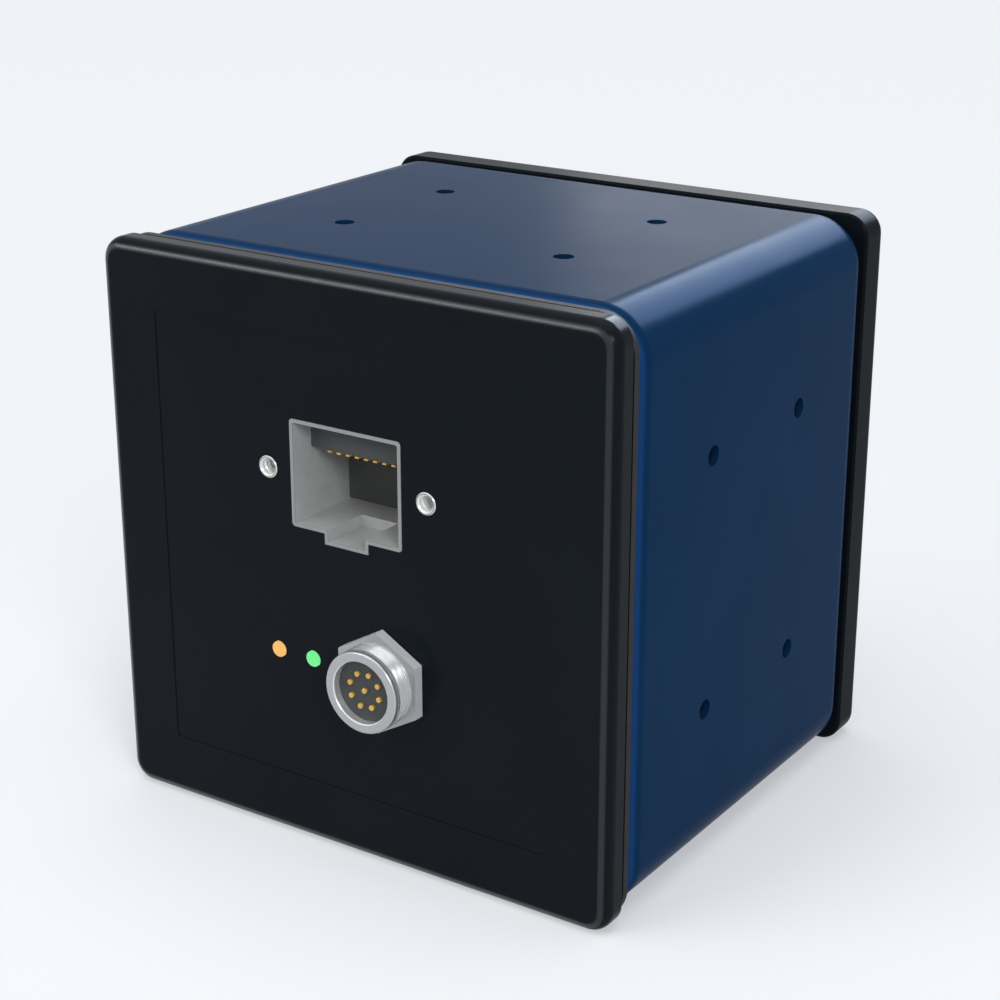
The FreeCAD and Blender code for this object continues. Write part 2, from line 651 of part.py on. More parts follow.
# The latch of the plug runs in a channel below the floor, closed at its inner end.
channel = section(jack_shield, SHIELD_REAR)
CHANNEL_LOW = "(%s - %s / 2 - sizes.latch_deep)" % (JACK_Z, SHIELD_TALL)
latch_box(channel, CHANNEL_LOW, "sizes.latch_wide / 2 - sizes.jack_clear")
pad(jack_shield, channel, "sizes.latch_long - sizes.jack_back")
room = section(jack_shield, SHIELD_REAR)
rectangle(room, "sizes.jack_right", JACK_Z, ROOM_WIDE, ROOM_TALL)
opened = pocket(jack_shield, room)
at_bends = along_at("%s / 2" % ROOM_WIDE, "%s / 2" % ROOM_TALL, "sizes.jack_right", JACK_Z)
round_edges(jack_shield, opened, "sizes.shield_bend", at_bends)
groove = section(jack_shield, SHIELD_REAR)
latch_box(
    groove, "%s + sizes.shield_wall" % CHANNEL_LOW,
    "sizes.latch_wide / 2 - sizes.jack_clear - sizes.shield_wall",
)
pocket(jack_shield, groove, "sizes.latch_long - sizes.jack_back - sizes.shield_wall")

jack_block = piece("jack_block")
profile = sketch_on(jack_block, "YZ_Plane", "sizes.jack_right - %s / 2" % ROOM_WIDE)
polygon(profile, [
    (BLOCK_FACE, CEILING), (BLOCK_FACE, BLOCK_LOW), (SOCKET_END, BLOCK_LOW),
    (SOCKET_END, FLOOR), (INTERFACE_REAR, FLOOR), (INTERFACE_REAR, CEILING),
])
moulded = pad(jack_block, profile, ROOM_WIDE)
round_edges(jack_block, moulded, "sizes.shield_bend", at_bends)

# Each contact is a strip that leaves the block's front edge and falls towards its root.
jack_contacts = piece("jack_contacts")
for number in range(JACK_CONTACTS):
    offset = number - (JACK_CONTACTS - 1) / 2
    left = "sizes.jack_right + %s * sizes.contact_pitch - sizes.contact_wide / 2" % offset
    profile = sketch_on(jack_contacts, "YZ_Plane", left)
    polygon(profile, [
        (BLOCK_FACE, BLOCK_LOW),
        ("%s - sizes.contact_nose" % BLOCK_FACE, BLOCK_LOW),
        ("%s - sizes.contact_nose" % BLOCK_FACE, "%s - sizes.contact_thick" % BLOCK_LOW),
        (BLOCK_FACE, "%s - sizes.contact_thick" % BLOCK_LOW),
        (SOCKET_END, "%s - sizes.contact_thick - sizes.contact_drop" % BLOCK_LOW),
        (SOCKET_END, "%s - sizes.contact_drop" % BLOCK_LOW),
    ])
    pad(jack_contacts, profile, "sizes.contact_wide")

locking_bushes = piece("locking_bushes")
bushes = section(locking_bushes, REAR_FACE)
for side in ("-", "+"):
    across = "sizes.jack_right %s sizes.bush_out" % side
    circle(bushes, across, JACK_Z, "sizes.bush_radius")
    circle(bushes, across, JACK_Z, "sizes.bush_core")
pad(locking_bushes, bushes, "sizes.bush_long")

# ---------------------------------------------------------------- status lights
CHIP_REAR = "(%s - sizes.led_chip_thick)" % INTERFACE_REAR
COLLAR_END = "(%s + sizes.led_collar_long)" % PLATE_BACK
led_chips = piece("led_chips")
chips = section(led_chips, CHIP_REAR)
for name, side in (("light_pipe_amber", "-"), ("light_pipe_green", "+")):
    across = "(-sizes.led_left %s sizes.led_pitch / 2)" % side
    pipe = piece(name)
    turned(pipe, "Revolution", across, LED_Z, [
        (REAR_FACE, "0"),
        (REAR_FACE, "sizes.led_radius"),
        (PLATE_BACK, "sizes.led_radius"),
        (PLATE_BACK, "sizes.led_collar"),
        (COLLAR_END, "sizes.led_collar"),
        (COLLAR_END, "sizes.led_radius"),
        (CHIP_REAR, "sizes.led_radius"),
        (CHIP_REAR, "0"),
    ])
    rectangle(chips, across, LED_Z, "sizes.led_chip_wide", "sizes.led_chip_wide")
pad(led_chips, chips, "sizes.led_chip_thick")

# ---------------------------------------------------------------- round connector
LIP = "(%s - sizes.plug_out)" % REAR_FACE
LIP_END = "(%s + sizes.plug_lip)" % LIP
NECK_END = "(%s + sizes.plug_neck_long)" % LIP_END
FLANGE_END = "(%s + sizes.flange_thick)" % PLATE_BACK
TAIL_END = "(%s + sizes.tail_long)" % FLANGE_END
INSERT_REAR = "(%s + sizes.insert_sunk)" % LIP
NECK = "(sizes.plug_radius - sizes.plug_neck_deep)"
NUT_REAR = "(%s - sizes.nut_thick)" % REAR_FACE

plug_shell = piece("plug_shell")
turned(plug_shell, "Revolution", "sizes.plug_right", PLUG_Z, [
    (LIP, "sizes.insert_radius"),
    (LIP, "sizes.plug_radius - sizes.plug_break"),
    ("%s + sizes.plug_break" % LIP, "sizes.plug_radius"),
    (LIP_END, "sizes.plug_radius"),
    (LIP_END, NECK),
    (NECK_END, NECK),
    (NECK_END, "sizes.plug_radius"),
    (NUT_REAR, "sizes.plug_radius"),
    (NUT_REAR, "sizes.plug_core"),
    (PLATE_BACK, "sizes.plug_core"),
    (PLATE_BACK, "sizes.flange_radius"),
    (FLANGE_END, "sizes.flange_radius"),
    (FLANGE_END, "sizes.tail_radius"),
    (TAIL_END, "sizes.tail_radius"),
    (TAIL_END, "sizes.insert_radius"),
])

plug_nut = piece("plug_nut")
outline = section(plug_nut, NUT_REAR)
hexagon(outline, "sizes.plug_right", PLUG_Z, "sizes.nut_flats")
circle(outline, "sizes.plug_right", PLUG_Z, "sizes.plug_core")
pad(plug_nut, outline, "sizes.nut_thick")

PIN_PLACES = [("sizes.plug_right", PLUG_Z)]
for number in range(RING_CONTACTS):
    angle = "((sizes.pin_turn + %s) * 1 deg)" % (number * 360 / RING_CONTACTS)
    PIN_PLACES.append((
        "sizes.plug_right + sizes.pin_ring * cos(%s)" % angle,
        "%s + sizes.pin_ring * sin(%s)" % (PLUG_Z, angle),
    ))

plug_insert = piece("plug_insert")
outline = section(plug_insert, INSERT_REAR)
circle(outline, "sizes.plug_right", PLUG_Z, "sizes.insert_radius")
for across, up in PIN_PLACES:
    circle(outline, across, up, "sizes.pin_radius")
pad(plug_insert, outline, "%s - %s" % (INTERFACE_REAR, INSERT_REAR))
keyway = section(plug_insert, INSERT_REAR)
key_low = "%s + sizes.insert_radius - sizes.key_deep" % PLUG_Z
key_high = "%s + sizes.insert_radius" % PLUG_Z
polygon(keyway, [
    ("sizes.plug_right - sizes.key_wide / 2", key_low),
    ("sizes.plug_right + sizes.key_wide / 2", key_low),
    ("sizes.plug_right + sizes.key_wide / 2", key_high),
    ("sizes.plug_right - sizes.key_wide / 2", key_high),
])
pocket(plug_insert, keyway, "sizes.key_long")

plug_contacts = piece("plug_contacts")
PIN_REAR = "(%s - sizes.pin_out)" % INSERT_REAR
outline = section(plug_contacts, PIN_REAR)
for across, up in PIN_PLACES:
    circle(outline, across, up, "sizes.pin_radius")
pad(plug_contacts, outline, "%s - %s" % (INTERFACE_REAR, PIN_REAR))

# ---------------------------------------------------------------- checks and files
doc.recompute()
for item in doc.Objects:
    if "Invalid" in item.State or "Error" in item.State:
        raise RuntimeError("%s failed: %s" % (item.Label, item.State))
for body in NODES:
    if body.Shape.isNull() or not body.Shape.isValid():
        raise RuntimeError("%s has no valid shape" % body.Label)

os.makedirs("parts", exist_ok=True)
for body in NODES:
    body.Shape.exportStep("parts/%s.step" % body.Label)
    print("%-20s %d solids, %9.2f mm3" % (body.Label, len(body.Shape.Solids), body.Shape.Volume))
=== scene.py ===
# %% [markdown]
# A machine vision camera, dressed from its solids.
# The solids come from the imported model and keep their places. Everything below gives them
# finishes, adds the fine forms that solids leave plain, such as threads, and sets up a small
# studio round them. All sizes are metres, with +Z up and the lens side towards +Y.

import math

import bmesh
import bpy
from mathutils import Matrix, Vector


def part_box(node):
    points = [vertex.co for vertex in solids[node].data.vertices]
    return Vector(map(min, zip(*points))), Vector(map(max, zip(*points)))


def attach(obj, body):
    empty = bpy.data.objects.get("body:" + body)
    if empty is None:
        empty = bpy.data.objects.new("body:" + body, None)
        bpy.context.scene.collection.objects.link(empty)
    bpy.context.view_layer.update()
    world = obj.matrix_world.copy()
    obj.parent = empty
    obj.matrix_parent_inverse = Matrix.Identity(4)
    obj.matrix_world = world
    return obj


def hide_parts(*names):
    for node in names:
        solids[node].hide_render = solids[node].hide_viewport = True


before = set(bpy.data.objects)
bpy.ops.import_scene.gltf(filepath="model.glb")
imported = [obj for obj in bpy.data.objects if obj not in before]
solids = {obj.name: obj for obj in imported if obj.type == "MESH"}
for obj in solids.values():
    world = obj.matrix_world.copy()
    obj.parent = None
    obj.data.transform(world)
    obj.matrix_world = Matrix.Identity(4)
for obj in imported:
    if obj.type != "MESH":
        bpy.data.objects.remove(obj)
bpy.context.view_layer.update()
print("solids:", len(solids))

# %% [markdown]
# The rear panel lies in a plane across Y, and the connectors and lights are fitted to it. Their
# places could be typed in, but typed numbers drift away from the solids at the first change, so
# they are read from the boxes of the solids.

# %% Places of the main pieces
REAR_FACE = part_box("rear_plate")[0].y
MIDDLE_Z = sum(corner.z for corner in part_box("front_plate")) / 2


def centre_of(node):
    """Middle of a solid's box."""
    low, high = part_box(node)
    return (low + high) / 2


PLUG_CENTRE = centre_of("plug_shell")
print("rear face at", round(REAR_FACE, 5))
print("round connector at", [round(value, 5) for value in PLUG_CENTRE])

# %% [markdown]
# Every finish is a network of shader nodes. It could be drawn by hand in the node editor, but
# written out it can be read and repeated. A few small helpers keep the cells short: one makes an
# empty material with its main shader, and others add a node, fill a socket, or join two.


# %% Helpers for finishes
def finish_named(name):
    """A new material and its main shader."""
    material = bpy.data.materials.new(name)
    material.use_nodes = True
    shader = material.node_tree.nodes["Principled BSDF"]
    return material, shader


def add_node(material, kind, **sockets):
    """A node of a material with some of its inputs set by name."""
    node = material.node_tree.nodes.new(kind)
    for label, setting in sockets.items():
        node.inputs[label.replace("_", " ")].default_value = setting
    return node


def join(material, output, target):
    """A link between two sockets."""
    material.node_tree.links.new(output, target)


def fill(material, target, value):
    """A socket's value: a number, a colour of three numbers, or another node's output."""
    if isinstance(value, bpy.types.NodeSocket):
        join(material, value, target)
    elif isinstance(value, tuple):
        target.default_value = (*value, 1)
    else:
        target.default_value = value


def set_shader(shader, **sockets):
    """Plain values on the main shader's own sockets."""
    for label, setting in sockets.items():
        shader.inputs[label.replace("_", " ")].default_value = setting


print("solids that wait for a finish:", len(solids))

# %% [markdown]
# Masks and blends are small sums. A Math node works on numbers, Map Range turns a number into a
# soft step, and Mix goes from one colour to another. One function for each hides which socket
# is which, and takes numbers, colours or the outputs of other nodes.


# %% Helpers for sums and blends
def arithmetic(material, operation, *terms):
    """The result of a Math node on up to three terms."""
    node = add_node(material, "ShaderNodeMath")
    node.operation = operation
    for target, term in zip(node.inputs, terms):
        fill(material, target, term)
    return node.outputs[0]


def ramp(material, output, start, end, low, high):
    """A value that goes from low to high while an output goes from start to end."""
    change = add_node(
        material, "ShaderNodeMapRange", From_Min=start, From_Max=end, To_Min=low, To_Max=high
    )
    join(material, output, change.inputs["Value"])
    return change.outputs["Result"]


def mixed(material, share, first, second):
    """A colour that goes from the first to the second while the share goes from 0 to 1."""
    mix = add_node(material, "ShaderNodeMix")
    mix.data_type = "RGBA"
    fill(material, mix.inputs[0], share)
    fill(material, mix.inputs[6], first)
    fill(material, mix.inputs[7], second)
    return mix.outputs[2]


print("a mix takes its share, its first and its second colour, in that order")

# %% [markdown]
# Bead-blasted and anodised aluminium has a grain of about a tenth of a millimetre, which
# spreads its highlights. Two sizes of noise give it: the fine one lifts the surface a few
# micrometres and the coarse one varies the gloss a little, as handling does on a real housing.
# The noise is read in the object's own coordinates, so its scale is one over a length in metres.

# %% Grain and wandering values
NOISE_MIDDLE = (0.3, 0.7)


def position(material):
    """Coordinates of the object in metres."""
    return add_node(material, "ShaderNodeTexCoord").outputs["Object"]


def grain(material, shader, size, height, strength):
    """Fine bumps from noise; the size and height are in metres."""
    noise = add_node(material, "ShaderNodeTexNoise", Scale=1 / size, Detail=3.0, Roughness=0.6)
    join(material, position(material), noise.inputs["Vector"])
    bump = add_node(material, "ShaderNodeBump", Strength=strength, Distance=height)
    join(material, noise.outputs["Fac"], bump.inputs["Height"])
    join(material, bump.outputs["Normal"], shader.inputs["Normal"])


def vary(material, size, low, high):
    """A value that wanders between two limits, with patches of a given size."""
    noise = add_node(material, "ShaderNodeTexNoise", Scale=1 / size, Detail=4.0, Roughness=0.55)
    join(material, position(material), noise.inputs["Vector"])
    return ramp(material, noise.outputs["Fac"], *NOISE_MIDDLE, low, high)


def tint(material, size, dark, light):
    """A colour that wanders between two tones, with patches of a given size."""
    return mixed(material, vary(material, size, 0.0, 1.0), dark, light)


print("noise between", NOISE_MIDDLE[0], "and", NOISE_MIDDLE[1], "spans each range")

# %% [markdown]
# The metal body is blasted, anodised and dyed. Dye in a clear oxide skin looks deep and dark
# and shines little, so the colours are near black and the clear gloss over them is very weak.
# A full gloss, as paint has, would turn the faces grey under a pale sky.

# %% Anodised skins
TONE_PATCH = 0.02
HANDLED_PATCH = 0.012
HANDLED_GLOSS = 0.02
BLAST_SIZE = 0.00018
BLAST_HEIGHT = 0.000002
BLAST_STRENGTH = 0.35
BLACK_GLOSS = 0.22


def anodised(name, dark, light, gloss, specular, metallic):
    """Dyed oxide skin on blasted aluminium."""
    material, shader = finish_named(name)
    join(material, tint(material, TONE_PATCH, dark, light), shader.inputs["Base Color"])
    handled = vary(material, HANDLED_PATCH, gloss - HANDLED_GLOSS, gloss + HANDLED_GLOSS)
    join(material, handled, shader.inputs["Roughness"])
    grain(material, shader, BLAST_SIZE, BLAST_HEIGHT, BLAST_STRENGTH)
    set_shader(shader, Specular_IOR_Level=specular, Metallic=metallic)
    return material


black_skin = anodised(
    "black_anodised_skin", (0.0054, 0.0076, 0.0103), (0.0066, 0.0092, 0.0123),
    BLACK_GLOSS, 0.06, 0.0,
)
front_skin = anodised(
    "front_anodised_skin", (0.0042, 0.0062, 0.0088), (0.0054, 0.0078, 0.0108), 0.3, 0.018, 0.0
)
blue_skin = anodised(
    "blue_anodised_skin", (0.0028, 0.024, 0.070), (0.0036, 0.028, 0.079), 0.25, 0.006, 0.08
)
# The threads in the holes get a darker blue: painted shade for the dim inside of the holes.
shaded_thread_skin = anodised(
    "shaded_thread_skin", (0.005, 0.013, 0.035), (0.008, 0.02, 0.05), 0.3, 0.1, 0.35
)
print("skins:", black_skin.name, front_skin.name, blue_skin.name, shaded_thread_skin.name)

# %% [markdown]
# The rim of the rear plate was cut after the blasting, so a narrow band round the face shines
# more. It could be a strip of its own, but the finish alone does it: Texture Coordinate's
# Normal says which way a surface looks, and only the rounding of the rim looks between the
# rear and the sides. Two soft steps mark that range, and their product is the band.


# %% Cut band on the rear plate's rim
def facing(material):
    """How far a surface looks along Y: -1 to the rear, 1 to the lens."""
    parts = add_node(material, "ShaderNodeSeparateXYZ")
    join(material, add_node(material, "ShaderNodeTexCoord").outputs["Normal"], parts.inputs[0])
    return parts.outputs["Y"]


BAND_BEGINS = (-0.985, -0.95)
BAND_ENDS = (-0.84, -0.74)
BAND_SPECULAR = (0.045, 0.4)
BAND_GLOSS = (BLACK_GLOSS, 0.31)
black_shader = black_skin.node_tree.nodes["Principled BSDF"]
rearward = facing(black_skin)
cut_band = arithmetic(
    black_skin, "MULTIPLY",
    ramp(black_skin, rearward, *BAND_BEGINS, 0.0, 1.0),
    ramp(black_skin, rearward, *BAND_ENDS, 1.0, 0.0),
)
band_specular = ramp(black_skin, cut_band, 0.0, 1.0, *BAND_SPECULAR)
band_gloss = ramp(black_skin, cut_band, 0.0, 1.0, *BAND_GLOSS)
join(black_skin, band_specular, black_shader.inputs["Specular IOR Level"])
join(black_skin, band_gloss, black_shader.inputs["Roughness"])
print("band where a surface looks", BAND_BEGINS[1], "to", BAND_ENDS[0], "along Y")

# %% [markdown]
# Where the housing's sides turn in to its two ends, the blue is painted lighter: a painted
# highlight along the rounding. Two masks find that rounding: the surface looks along Y a little,
# and it lies within two millimetres of an end, which leaves the walls of the holes in the sides
# dark.

# %% Painted highlight at the housing's ends
PAINTED_HIGHLIGHT_BLUE = (0.010, 0.046, 0.15)
TURNED_IN = (0.1, 0.5)
END_ZONE = (0.002, 0.0015)
blue_shader = blue_skin.node_tree.nodes["Principled BSDF"]
full_blue = blue_shader.inputs["Base Color"].links[0].from_socket
housing_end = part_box("housing")[1].y
along = add_node(blue_skin, "ShaderNodeSeparateXYZ")
join(blue_skin, position(blue_skin), along.inputs[0])
endward = arithmetic(blue_skin, "ABSOLUTE", facing(blue_skin))
from_middle = arithmetic(blue_skin, "ABSOLUTE", along.outputs["Y"])
near_end = (housing_end - END_ZONE[0], housing_end - END_ZONE[1])
painted_highlight_share = arithmetic(
    blue_skin, "MULTIPLY",
    ramp(blue_skin, endward, *TURNED_IN, 0.0, 1.0),
    ramp(blue_skin, from_middle, *near_end, 0.0, 1.0),
)
# The lighter blue mixed in here is a painted highlight on the end roundings.
join(blue_skin, mixed(blue_skin, painted_highlight_share, full_blue, PAINTED_HIGHLIGHT_BLUE), blue_shader.inputs["Base Color"])
print("thin dye beyond", round(near_end[0], 5), "m from the housing's middle")

# %% [markdown]
# The seal is soft and dull, so its highlights are wide and weak. The plastics are moulded: a
# faint grain from the mould and a medium gloss. One helper serves both, because they differ
# only in colour and shine, and noise has no seams where a wrapped image would.

# %% Rubber and moulded plastic
MOULD_PATCH = 0.004
MOULD_GLOSS_PATCH = 0.003
MOULD_GLOSS = 0.04
MOULD_GRAIN = 0.00025
MOULD_HEIGHT = 0.000006
MOULD_STRENGTH = 0.4


def moulded(name, dark, light, gloss, specular):
    """Moulded plastic or rubber with the grain of its mould."""
    material, shader = finish_named(name)
    join(material, tint(material, MOULD_PATCH, dark, light), shader.inputs["Base Color"])
    uneven = vary(material, MOULD_GLOSS_PATCH, gloss - MOULD_GLOSS, gloss + MOULD_GLOSS)
    join(material, uneven, shader.inputs["Roughness"])
    grain(material, shader, MOULD_GRAIN, MOULD_HEIGHT, MOULD_STRENGTH)
    set_shader(shader, Specular_IOR_Level=specular)
    return material


seal_rubber = moulded("seal_rubber", (0.004, 0.004, 0.0045), (0.006, 0.006, 0.007), 0.6, 0.25)
jack_plastic = moulded("jack_plastic", (0.062, 0.066, 0.064), (0.072, 0.077, 0.074), 0.5, 0.15)
insert_plastic = moulded("insert_plastic", (0.030, 0.033, 0.034), (0.036, 0.039, 0.040), 0.5, 0.4)
chip_plastic = moulded("chip_plastic", (0.012, 0.012, 0.013), (0.02, 0.02, 0.021), 0.45, 0.4)
link_plastic = moulded("link_plastic", (0.02, 0.02, 0.02), (0.03, 0.03, 0.03), 0.5, 0.4)
package_ceramic = moulded("package_ceramic", (0.11, 0.10, 0.09), (0.14, 0.13, 0.115), 0.6, 0.4)
lamp_body = moulded("lamp_body", (0.55, 0.55, 0.5), (0.65, 0.65, 0.6), 0.4, 0.4)
print("moulded:", seal_rubber.name, jack_plastic.name, insert_plastic.name, chip_plastic.name)

# %% [markdown]
# A lathe leaves fine rings that run round a part's axis, so the first thing that a turned
# finish needs is the distance of each surface point from that axis. A gradient texture gives
# only a fade round a point, so the distance is worked out from X and Z instead.


# %% Distance from a turning axis
def distance_from(material, split, centre):
    """Distance of a surface point from an axis along Y."""
    across = arithmetic(material, "SUBTRACT", split.outputs["X"], centre.x)
    up = arithmetic(material, "SUBTRACT", split.outputs["Z"], centre.z)
    squares = [arithmetic(material, "POWER", offset, 2.0) for offset in (across, up)]
    return arithmetic(material, "SQRT", arithmetic(material, "ADD", *squares))


print("round connector's axis: X", round(PLUG_CENTRE.x, 5), "Z", round(PLUG_CENTRE.z, 5))

# %% [markdown]
# Noise read along the distance from the axis and the place along it makes rings of uneven
# depth. The end faces are painted darker and the sides lighter, as painted shade and painted
# light for how the lamps fall, and the bore is painted lightest, as painted light in a hollow.
# Three solids could show that, but one finish with two masks keeps the part in one piece.

# %% Turned, plated metal
REAR_TO_SIDE = (-0.95, -0.6)
FACED_METALLIC = 0.3
RING_STRENGTH = 0.5
RING_HEIGHT = 0.000012
RING_GLOSS = 0.06
BORE_EDGE = 0.0001
NO_PAINTED_BORE = ((1.0, 1.0, 1.0), 0.0)


def turned_metal(name, centre, shaded_end, turned, gloss, ring, metallic, bore=NO_PAINTED_BORE):
    """Plated metal with turning marks round an axis along Y. Its end faces, its sides, and its
    bore up to a radius each have a colour: painted shade on the end faces, and painted light on
    the sides and in the bore."""
    material, shader = finish_named(name)
    split = add_node(material, "ShaderNodeSeparateXYZ")
    join(material, position(material), split.inputs[0])
    radius = distance_from(material, split, centre)
    sideways = ramp(material, facing(material), *REAR_TO_SIDE, 0.0, 1.0)
    painted_bore_light, bore_radius = bore
    inside = ramp(material, radius, bore_radius, bore_radius + BORE_EDGE, 1.0, 0.0)
    painted_bore_share = arithmetic(material, "MULTIPLY", inside, sideways)
    shaded_end_lit_side = mixed(material, sideways, shaded_end, turned)
    join(material, mixed(material, painted_bore_share, shaded_end_lit_side, painted_bore_light), shader.inputs["Base Color"])
    polish = ramp(material, sideways, 0.0, 1.0, FACED_METALLIC, metallic)
    join(material, polish, shader.inputs["Metallic"])

    place = add_node(material, "ShaderNodeCombineXYZ")
    join(material, radius, place.inputs["X"])
    join(material, split.outputs["Y"], place.inputs["Y"])
    rings = add_node(material, "ShaderNodeTexNoise", Scale=1 / ring, Detail=2.0, Roughness=0.7)
    join(material, place.outputs[0], rings.inputs["Vector"])
    bump = add_node(material, "ShaderNodeBump", Strength=RING_STRENGTH, Distance=RING_HEIGHT)
    join(material, rings.outputs["Fac"], bump.inputs["Height"])
    join(material, bump.outputs["Normal"], shader.inputs["Normal"])
    uneven = ramp(material, rings.outputs["Fac"], 0.0, 1.0, gloss - RING_GLOSS, gloss + RING_GLOSS)
    join(material, uneven, shader.inputs["Roughness"])
    return material


print("rings are up to", RING_HEIGHT, "m high")

# %% [markdown]
# Three parts on the rear panel are turned and nickel plated: the barrel of the round connector,
# the nut that holds it, and the two bushes. Each gets its own finish, because the barrel is
# bright, the nut is satin, and the bushes are painted bright on their threads. In each the end
# faces carry painted shade and the sides painted light, and the barrel's bore is painted light.

# %% Nickel of barrel, nut and bushes
# First colour: painted shade on end faces; second: painted light on sides; bore colour: painted
# light.
barrel_nickel = turned_metal(
    "barrel_nickel", PLUG_CENTRE, (0.40, 0.40, 0.41), (0.52, 0.52, 0.52), 0.25, 0.00012, 0.72,
    bore=((0.85, 0.85, 0.86), 0.0042),
)
nut_nickel = turned_metal(
    "nut_nickel", PLUG_CENTRE, (0.38, 0.38, 0.39), (0.64, 0.65, 0.68), 0.32, 0.00018, 0.2
)
bush_nickel = turned_metal(
    "bush_nickel", centre_of("jack_shield"), (0.3, 0.3, 0.3), (0.85, 0.85, 0.84), 0.22, 0.0001, 0.3
)
print("turned metals:", barrel_nickel.name, nut_nickel.name, bush_nickel.name)

# %% [markdown]
# Rolled sheet and small plated parts have no rings. The tin on the jack's shield is dull and
# even, gold on the contacts is bright, and blackened screws keep a little sheen. They share one
# helper with patches of a millimetre, since the parts are only a few millimetres wide.

# %% Other metals
PLATED_PATCH = 0.0015
PLATED_GLOSS_PATCH = 0.001
PLATED_GLOSS = 0.03
PLATED_GRAIN = 0.00012
PLATED_HEIGHT = 0.000002
PLATED_STRENGTH = 0.25


def plated(name, dark, light, gloss, metallic=1.0):
    """Plated metal with slightly uneven tone and gloss."""
    material, shader = finish_named(name)
    join(material, tint(material, PLATED_PATCH, dark, light), shader.inputs["Base Color"])
    uneven = vary(material, PLATED_GLOSS_PATCH, gloss - PLATED_GLOSS, gloss + PLATED_GLOSS)
    join(material, uneven, shader.inputs["Roughness"])
    grain(material, shader, PLATED_GRAIN, PLATED_HEIGHT, PLATED_STRENGTH)
    set_shader(shader, Metallic=metallic)
    return material


shield_tin = plated("shield_tin", (0.45, 0.46, 0.46), (0.50, 0.51, 0.51), 0.45, 0.3)
contact_gold = plated("contact_gold", (0.58, 0.35, 0.075), (0.68, 0.43, 0.11), 0.25, 0.5)
screw_black = plated("screw_black", (0.02, 0.02, 0.021), (0.035, 0.035, 0.037), 0.35)
standoff_nickel = plated("standoff_nickel", (0.5, 0.49, 0.46), (0.58, 0.57, 0.54), 0.3)
print("plated metals:", shield_tin.name, contact_gold.name, screw_black.name)

# %% [markdown]
# The shield's rearmost face, its edge, meets the front lamps head on, while the walls inside get
# little light, so the edge is painted darker as painted shade. A thin ring of its own could carry
# that colour. The edge is simply the shield's rearmost face, though, so a narrow step along Y in
# the colour tells it from the walls and needs no new faces.

# %% Painted shade on the shield's rear edge
PAINTED_SHADE_EDGE = (0.27, 0.275, 0.28)
EDGE_DEEP = 0.00006
tin_shader = shield_tin.node_tree.nodes["Principled BSDF"]
tin_colour = tin_shader.inputs["Base Color"].links[0].from_socket
edge_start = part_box("jack_shield")[0].y + EDGE_DEEP
edge_place = add_node(shield_tin, "ShaderNodeSeparateXYZ")
join(shield_tin, position(shield_tin), edge_place.inputs[0])
edge_shade_step = ramp(
    shield_tin, edge_place.outputs["Y"], edge_start, edge_start + EDGE_DEEP, 0.0, 1.0
)
# The darker colour at the rear edge is painted shade.
edge_shaded_tin = mixed(shield_tin, edge_shade_step, PAINTED_SHADE_EDGE, tin_colour)
join(shield_tin, edge_shaded_tin, tin_shader.inputs["Base Color"])
print("cut edge deeper than", EDGE_DEEP, "m turns to tin")

# %% [markdown]
# A status light is the end of a clear pipe with a lamp behind it. A lamp behind glass would
# work as the real one does, but slowly and with noise. The end looks evenly bright, so it gets
# a glow of its own under a glossy surface, in two close tones.

# %% Status lights
GLOW_PATCH = 0.0006
GLOW_STRENGTH = 0.93
UNLIT_PIPE = (0.02, 0.02, 0.02, 1)


def lit_pipe(name, middle, rim):
    """Glowing pipe end; the colour falls off slightly from patch to patch."""
    material, shader = finish_named(name)
    join(material, tint(material, GLOW_PATCH, rim, middle), shader.inputs["Emission Color"])
    set_shader(
        shader, Base_Color=UNLIT_PIPE, Emission_Strength=GLOW_STRENGTH, Roughness=0.3,
        Specular_IOR_Level=0.2,
    )
    return material


amber_glow = lit_pipe("amber_glow", (1.0, 0.56, 0.15), (0.98, 0.48, 0.11))
green_glow = lit_pipe("green_glow", (0.20, 0.98, 0.33), (0.15, 0.9, 0.26))
print("lights:", amber_glow.name, green_glow.name)

# %% [markdown]
# Solder mask is a thin green lacquer over copper tracks. Bricks that are long and narrow read
# as bundles of tracks, and mix two greens under one gloss. The boards stand across Y, so the
# pattern is turned to lie in their plane.


# %% Circuit boards
def bricks(material, shader, scale, gap, first, second, between):
    """Colour from a pattern of bricks in the plane across Y."""
    pattern = add_node(material, "ShaderNodeTexBrick", Scale=scale, Mortar_Size=gap)
    for label, colour in (("Color1", first), ("Color2", second), ("Mortar", between)):
        fill(material, pattern.inputs[label], colour)
    turn = add_node(material, "ShaderNodeMapping")
    turn.inputs["Rotation"].default_value = (math.pi / 2, 0, 0)
    join(material, position(material), turn.inputs["Vector"])
    join(material, turn.outputs["Vector"], pattern.inputs["Vector"])
    join(material, pattern.outputs["Color"], shader.inputs["Base Color"])
    return pattern


TRACK_SCALE, TRACK_GAP = 160.0, 0.04
LACQUER_HEIGHT = 0.00002
board_mask, shader = finish_named("board_mask")
tracks = bricks(
    board_mask, shader, TRACK_SCALE, TRACK_GAP,
    (0.008, 0.075, 0.028), (0.012, 0.11, 0.045), (0.005, 0.05, 0.018),
)
bump = add_node(board_mask, "ShaderNodeBump", Strength=0.3, Distance=LACQUER_HEIGHT)
join(board_mask, tracks.outputs["Fac"], bump.inputs["Height"])
join(board_mask, bump.outputs["Normal"], shader.inputs["Normal"])
set_shader(shader, Roughness=0.32)
print("board finish:", board_mask.name)

# %% [markdown]
# The die under the glass is polished silicon with a field of tiny light cells. Cutting them as
# geometry would take millions of faces. A faint grid of even bricks in three close blues stands
# for the field, under a metallic gloss.

